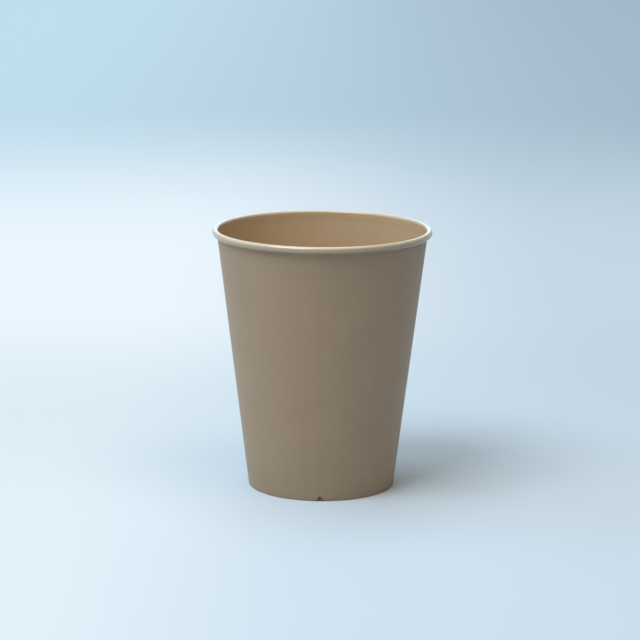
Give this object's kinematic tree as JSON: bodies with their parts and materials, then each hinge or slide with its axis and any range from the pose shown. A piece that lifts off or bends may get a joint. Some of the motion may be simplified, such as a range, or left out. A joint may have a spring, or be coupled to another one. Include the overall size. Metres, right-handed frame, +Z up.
{
  "type": "paper coffee cup",
  "caption": "Tapered single-wall kraft paper cup with a rolled rim, a folded foot, a lapped seam and a recessed bottom.",
  "frame": {"origin": "middle of the ring that the cup stands on", "axes": "+Z up along the cup's axis; the seam with its foot notch faces -Y, which is the picture's front"},
  "size_m": [0.09, 0.09, 0.1075],
  "materials": {
    "kraft_wall": "satin",
    "kraft_base": "satin"
  },
  "bodies": {
    "root": {"sidewall": "kraft_wall", "bottom": "kraft_base"}
  },
  "joints": []
}
